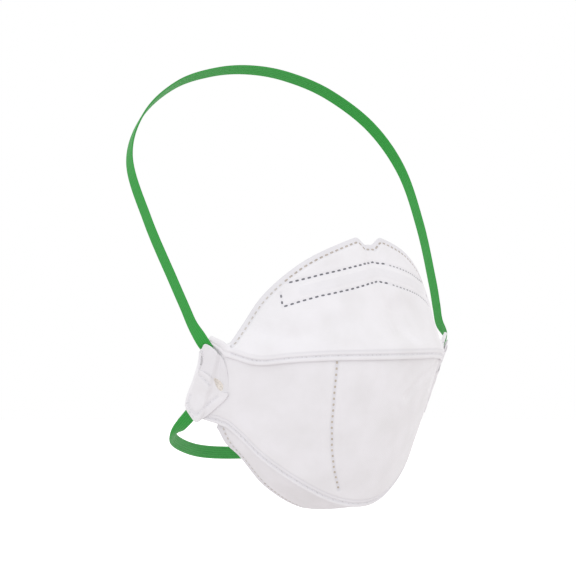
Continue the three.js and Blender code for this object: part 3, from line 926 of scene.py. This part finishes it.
def flap_front(a, b):
    """The outer height of the flap over the plane of the tab."""
    past = a - fold_at(b)
    radius = TURN + TAB_WALL
    bend = np.sqrt(np.maximum(radius**2 - np.maximum(radius - past, 0) ** 2, 0.01))
    full = TURN + radius
    height = TURN + np.where(past < radius, bend, radius)
    low = TAB_WALL + 0.12
    close = smooth(TUNNEL_WIDTH, TUNNEL_WIDTH + TUNNEL_CLOSE, a)
    height = height - (full - low) * close
    at = np.interp(b, [4.2, 7.6, 13.1, 18.5], [7.6, 10.5, 12.3, 13.6])
    groove = 0.4 * bell(a - at, 1.3) * smooth(3, 6, b) * fall(15, 19, b)
    return height - groove + 0.05 * np.maximum(0, a - 15.5)


TAB_ROWS = 110
BACK_COLUMNS = 24
FOLD_COLUMNS = 12
FLAP_COLUMNS = 76
FOLD_WALL = TAB_WALL - 0.15
EDGE_PRESS = 0.5     # how much thinner the flap is along its free edge


def pressed_edge(share, v, inward):
    """1 at the flap's free side and at its upper edge beyond the tunnel, falling to 0 inside."""
    upper = fall(0, 0.06, v) * smooth(TUNNEL_WIDTH, TUNNEL_WIDTH + TUNNEL_CLOSE, inward)
    return np.maximum(smooth(0.9, 1, share), upper)


def tab_skin():
    """The outer face of a tab, round the fold and back over the tunnel, and its thickness."""
    radius = TURN + TAB_WALL
    flap = patch(FLAP_FOLD, FLAP_FAR, FLAP_TOP, FLAP_BOTTOM, TAB_ROWS, FLAP_COLUMNS)
    share = np.linspace(0, 1, FLAP_COLUMNS)[None, :]
    reach = flap[..., 0] + radius * (1 - share) ** 7
    v = np.linspace(0, 1, TAB_ROWS)
    pressed = pressed_edge(share, v[:, None], reach)
    front = on_tab(reach, flap[..., 1], flap_front(reach, flap[..., 1]) - EDGE_PRESS * pressed)
    fold = flap[:, 0]
    q = np.linspace(0, 1, BACK_COLUMNS)
    back = back_layer(q[None, :], v[:, None]) - TAB_WALL * OUTWARD
    # the back layer meets the fold where the flap's own fold line puts it
    back_down = BEND_TOP + (BEND_BOTTOM - BEND_TOP) * v
    meet = on_tab(fold[:, 0] + radius, back_down, np.full(TAB_ROWS, -TAB_WALL))
    back = back + (meet - back[:, -1])[:, None] * smooth(0.6, 1, q)[None, :, None]
    bend = []
    for angle in np.linspace(0, math.pi, FOLD_COLUMNS)[1:-1]:
        turned = (1 - math.cos(angle)) / 2
        down = back_down * (1 - turned) + fold[:, 1] * turned
        out = fold[:, 0] + radius * (1 - math.sin(angle))
        bend.append(on_tab(out, down, np.full(TAB_ROWS, TURN - radius * math.cos(angle))))
    # the back layer is thinner, for the centre panel's cloth lies over it
    thin = WING_WALL + (TAB_WALL - WING_WALL) * smooth(0.6, 0.95, q)
    wall = np.concatenate([
        np.broadcast_to(thin, (TAB_ROWS, BACK_COLUMNS)),
        np.full((TAB_ROWS, len(bend)), FOLD_WALL), TAB_WALL - EDGE_PRESS * pressed,
    ], axis=1)
    return np.concatenate([back, np.stack(bend, axis=1), front], axis=1), wall


def on_flap(points, lift=0.0):
    points = np.array(points, float)
    return on_tab(points[..., 0], points[..., 1], flap_front(points[..., 0], points[..., 1]) + lift)


LAYER = 0.42         # how far the second layer stands on the flap
LAYER_WALL = 0.36


def overlap_skin():
    """The second cloth layer on the lower part of the flap."""
    left = [p for p in rounded(FLAP_FOLD) if p[1] > 15.2]
    left = [OVERLAP[0]] + [(a + 0.35, b) for a, b in left]
    far = [(19.8, 23.4), (20.05, 24.1), (20.0, 24.6)]
    bottom = [(left[-1][0], left[-1][1])] + FLAP_BOTTOM[1:]
    flat = patch(left, far, OVERLAP, bottom, 90, 80)
    a, b = flat[..., 0], flat[..., 1]
    return on_tab(a, b, flap_front(a, b) + LAYER)


def slot_mesh(name, flip):
    """The opening at the end of the overlap: a cloth rim round a beige patch, the shade inside the
    opening painted onto the flap.
    """
    ring = resampled_to(rounded(SLOT + [SLOT[0]], 2), 40)[:-1]
    middle = ring.mean(0)
    points, faces = [], []
    for scale, lift in ((1.14, 0.02), (1.04, 0.24), (0.96, 0.12), (0.9, 0.04), (0.0, 0.04)):
        points.append(on_flap(middle + (ring - middle) * scale, lift))
    count = len(ring)
    for level in range(4):
        for k in range(count):
            a, b = level * count + k, level * count + (k + 1) % count
            faces.append((a, b, b + count, a + count))
    # the inner rings and the middle take the beige patch of painted shade
    slots = [0] * (2 * count) + [1] * (2 * count)
    points = np.vstack(points)
    if flip:
        points = points * [-1, 1, 1]
        faces = [f[::-1] for f in faces]
    return make_mesh(name, points, faces, [CLOTH, SLOT_SHADE], face_material=slots)


def tab_lines(grid, lines):
    """Turns lines in the tab's plane into rows and columns of a grid that lies over it."""
    plane = np.stack([(grid - FOLD_TOP) @ INWARD, (grid - FOLD_TOP) @ DOWN], axis=-1)
    return [locate(plane, resampled(line, 0.8), [0, 1]) for line in lines]


def build_tab(name, flip):
    skin, wall = (part[:, ::-1] for part in tab_skin())
    skin = offset(skin, 0.14 * ripple(skin, 9, 31))
    layer = overlap_skin()[:, ::-1]
    layer = offset(layer, 0.08 * ripple(layer, 7, 33))
    lines = tab_lines(layer, [
        [(3.0, 17.4), (5.4, 18.6), (7.5, 19.8), (9.6, 21.6)],
        [(1.0, 30.0), (0.9, 34.4), (2.6, 37.4), (6.6, 39.7), (8.3, 37.4), (11.6, 32.0),
         (14.8, 27.1)],
        [(0.2, 33.1), (0.3, 36.3), (3.4, 39.6), (6.4, 41.8)],
    ])
    depth = np.minimum.reduce([
        distance_to(layer, sample(layer, at[:, 0], at[:, 1])) for at in lines[:2]
    ])
    relief = -0.2 * fall(0.3, 1.3, depth) + 0.1 * bell(depth - 2.2, 1.0)
    layer = offset(layer, relief)
    pressed = 0.3 * fall(0.3, 1.3, depth)
    tint = np.full(skin.shape[:2], 0.12)
    if flip:
        skin, layer = mirrored(skin), mirrored(layer)
        wall, tint, pressed = wall[:, ::-1], tint[:, ::-1], pressed[:, ::-1]
        last = layer.shape[1] - 1
        lines = [np.stack([at[:, 0], last - at[:, 1]], axis=1) for at in lines]
    tab = cloth_wall(f"{name}_cloth", skin, wall, CLOTH, tint, keep=2)
    over = cloth_wall(f"{name}_overlap", layer, LAYER_WALL, CLOTH, pressed, keep=2)
    marks = weld_marks(f"{name}_welds", layer, [
        (lines[0], 2.6, 1.3, 0.6, 0.0, 1),
        (lines[1], 3.1, 1.5, 0.65, 0.0, 1),
        (lines[2], 2.9, 1.2, 0.55, 0.0, 1),
    ], [CLOTH, FAINT_WELD])
    slot = slot_mesh(f"{name}_slot", flip)
    return tab, over, marks, slot


# ---------- elastic ----------
RIBS = 6
RIB_DEPTH = 0.13


def build_band(name, tunnel, loop, steps):
    hidden = [(on_tab(a, b, TUNNEL_HEIGHT / 2), INWARD) for a, b in tunnel]
    free = [(np.array(row[:3], float), unit(np.array(row[3:], float))) for row in loop]
    half = hidden + free
    mirror = [(p * [-1, 1, 1], w * [-1, 1, 1]) for p, w in half[-2::-1]]
    path = catmull([p for p, _ in half + mirror])
    wide = catmull([w for _, w in half + mirror])
    t = np.linspace(0, 1, steps + 1)
    centre, width = path(t), wide(t)
    tangent = unit(np.gradient(centre, axis=0))
    width = unit(width - tangent * (width * tangent).sum(1, keepdims=True))
    normal = np.cross(tangent, width)
    share = np.linspace(-1, 1, RIBS * 7 + 1)
    crown = np.sqrt(np.abs(np.sin(math.pi * RIBS * (share + 1) / 2)))
    rim = np.sqrt(np.maximum(1 - np.abs(share) ** 12, 0))
    height = (STRAP_THICK / 2 - RIB_DEPTH * (1 - crown)) * rim
    place = share * STRAP_WIDTH / 2
    section = np.concatenate([
        np.stack([place, height], axis=1), np.stack([place, -height], axis=1)[-2:0:-1],
    ])
    # how deep each point of the section lies between the ribs; the elastic's material paints it as
    # shade
    valley = np.concatenate([1 - crown, (1 - crown)[-2:0:-1]])
    count = len(section)
    points = (
        centre[:, None] + section[None, :, :1] * width[:, None]
        + section[None, :, 1:] * normal[:, None]
    )
    length = lengths_along(centre)
    uvs = np.stack([
        np.broadcast_to(section[:, 0] * MM, (steps + 1, count)),
        np.broadcast_to(length[:, None] * MM, (steps + 1, count)),
    ], axis=-1)
    i, j = np.meshgrid(np.arange(steps), np.arange(count), indexing="ij")
    a, b = (i * count + j).ravel(), (i * count + (j + 1) % count).ravel()
    faces = np.stack([a, a + count, b + count, b], axis=1).tolist()
    faces.append(list(range(count)))
    faces.append(list(range((steps + 1) * count - 1, steps * count - 1, -1)))
    tint = np.broadcast_to(valley, (steps + 1, count)).ravel()
    return make_mesh(
        name, points.reshape(-1, 3), faces, [BAND], uvs.reshape(-1, 2), np.clip(tint, 0, 1)
    )


# ---------- the pieces on the frame ----------
def settle(piece, slot, *nodes):
    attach(piece, "root")
    if nodes:
        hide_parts(*nodes)


centre, centre_marks = build_centre()
top, top_marks, top_face = build_top()
chin, chin_marks = build_chin()
pocket = build_pocket()
for piece, node in ((centre, "centre_panel"), (top, "top_panel"), (chin, "chin_panel"),
                    (pocket, "nose_clip_pocket")):
    settle(piece, "cloth", node)
for piece in (centre_marks, top_marks, chin_marks):
    settle(piece, "cloth")

for side, flip in (("left_tab", False), ("right_tab", True)):
    tab, over, marks, slot = build_tab(side, flip)
    rim = build_rim(f"{side}_rim", top_face[:, -1], flip)
    settle(tab, "cloth", side)
    for piece in (over, marks, slot, rim):
        settle(piece, "cloth")

head = build_band("head_elastic", HEAD_TUNNEL, HEAD_LOOP, 560)
neck = build_band("neck_elastic", NECK_TUNNEL, NECK_LOOP, 320)
settle(head, "elastic", "head_strap")
settle(neck, "elastic", "neck_strap")

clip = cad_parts["nose_clip"]
clip.data.materials.clear()
clip.data.materials.append(rolled_metal("nose_strip_metal"))


# ---------- floor, light and picture ----------
SKY_LIGHT = 1.07     # strength of the studio's white surroundings on the mask


def build_floor():
    low = cad_box[0][2] - 0.16
    count = 48
    ring = np.linspace(0, 2 * math.pi, count, endpoint=False)
    points = [(0, 0, low / MM)]
    for radius in (500, 4000):
        points += [(radius * math.cos(a), radius * math.sin(a), low / MM) for a in ring]
    faces = [(0, 1 + k, 1 + (k + 1) % count) for k in range(count)]
    faces += [
        (1 + k, 1 + count + k, 1 + count + (k + 1) % count, 1 + (k + 1) % count)
        for k in range(count)
    ]
    n = Nodes("floor_paper")
    grain = n.noise(n.place(), 400.0, 2.0)
    n.join(n.mix(grain, srgb(250, 250, 250), srgb(246, 246, 247)), "Base Color")
    n.set("Roughness", 0.9)
    n.set("Emission Color", (1, 1, 1, 1))
    n.set("Emission Strength", 0.4)
    floor = make_mesh("floor", points, faces, [n.material])
    floor.visible_diffuse = False


def add_light(name, place, size, power, colour):
    data = bpy.data.lights.new(name, "AREA")
    data.shape = "DISK"
    data.size = size
    data.energy = power
    data.color = colour
    light = bpy.data.objects.new(name, data)
    scene.collection.objects.link(light)
    spot = np.array(place, float)
    back = unit(spot - np.array([0, 0, 0.03]))
    right = unit(np.cross([0.0, 0.0, 1.0], back))
    up = np.cross(back, right)
    rows = [[right[k], up[k], back[k], spot[k]] for k in range(3)]
    light.matrix_world = Matrix([[float(v) for v in row] for row in rows] + [[0, 0, 0, 1]])


build_floor()
add_light("key", (-1.5, -0.7, 0.55), 0.7, 3.5, (0.90, 0.93, 1.0))
add_light("fill", (1.2, -0.9, 0.2), 0.9, 1.2, (1.0, 0.93, 0.86))
world = bpy.data.worlds.new("studio")
world.use_nodes = True
tree = world.node_tree
sky = tree.nodes["Background"]
towards = tree.nodes.new("ShaderNodeTexCoord").outputs["Generated"]
parts = tree.nodes.new("ShaderNodeSeparateXYZ")
tree.links.new(towards, parts.inputs[0])
level = tree.nodes.new("ShaderNodeMapRange")
level.inputs["From Min"].default_value, level.inputs["From Max"].default_value = -1.0, 0.0
tree.links.new(parts.outputs["Z"], level.inputs["Value"])
shade = tree.nodes.new("ShaderNodeMix")
shade.data_type = "RGBA"
tree.links.new(level.outputs[0], shade.inputs[0])
shade.inputs[6].default_value = (0.76, 0.71, 0.71, 1.0)      # light that the floor gives back
shade.inputs[7].default_value = (1.0, 1.0, 1.0, 1.0)
tree.links.new(shade.outputs[2], sky.inputs["Color"])
sky.inputs["Strength"].default_value = SKY_LIGHT
seen = tree.nodes.new("ShaderNodeBackground")
seen.inputs["Color"].default_value = (1.0, 1.0, 1.0, 1.0)
choice = tree.nodes.new("ShaderNodeMixShader")
tree.links.new(tree.nodes.new("ShaderNodeLightPath").outputs["Is Camera Ray"], choice.inputs[0])
tree.links.new(sky.outputs[0], choice.inputs[1])
tree.links.new(seen.outputs[0], choice.inputs[2])
tree.links.new(choice.outputs[0], tree.nodes["World Output"].inputs[0])
scene.world = world
scene.view_settings.view_transform = "Standard"
